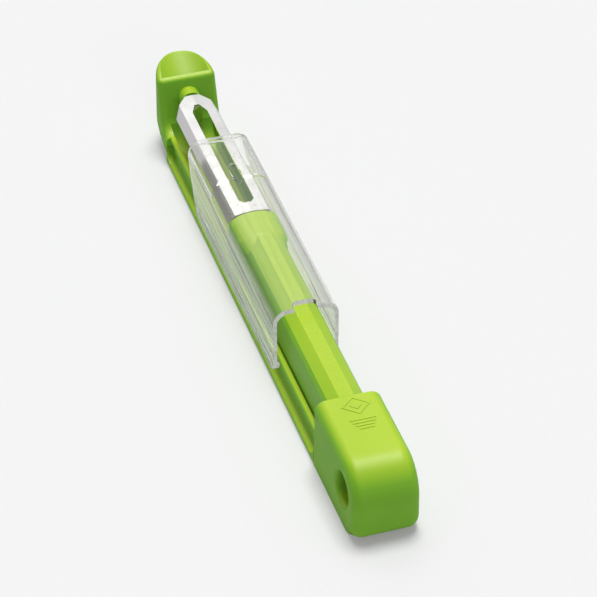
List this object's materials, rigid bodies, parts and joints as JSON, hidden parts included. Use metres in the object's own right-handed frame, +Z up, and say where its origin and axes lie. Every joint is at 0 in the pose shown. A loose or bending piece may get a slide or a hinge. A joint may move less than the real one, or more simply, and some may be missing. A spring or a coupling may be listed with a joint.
{
  "type": "vegetable peeler",
  "caption": "Straight swivel vegetable peeler with a slotted steel blade, hang hole, eye-remover scoop and a clear sliding blade guard.",
  "frame": {"origin": "middle of the length and width, on the underside the peeler lies on", "axes": "+X from the hanging end to the scoop end, +Y to the left seen from the hanging end, +Z up"},
  "size_m": [0.2003, 0.019, 0.0266],
  "materials": {
    "green_plastic": "satin moulded plastic",
    "steel": "fine ground",
    "clear_plastic": "clear moulded plastic"
  },
  "bodies": {
    "handle": {"frame": "green_plastic", "handle_bar": "green_plastic"},
    "swivel_blade": {"blade": "steel", "front_pivot_pin": "steel", "rear_pivot_pin": "steel"},
    "guard": {"blade_guard": "clear_plastic"}
  },
  "joints": [
    {"name": "blade_swivel", "type": "hinge", "parent": "handle", "child": "swivel_blade", "pos_m": [0.052, 0, 0.018], "axis": [1, 0, 0], "range_deg": [-22, 22]},
    {"name": "guard_slide", "type": "slide", "parent": "handle", "child": "guard", "axis": [1, 0, 0], "range_m": [-0.035, 0.03]}
  ]
}
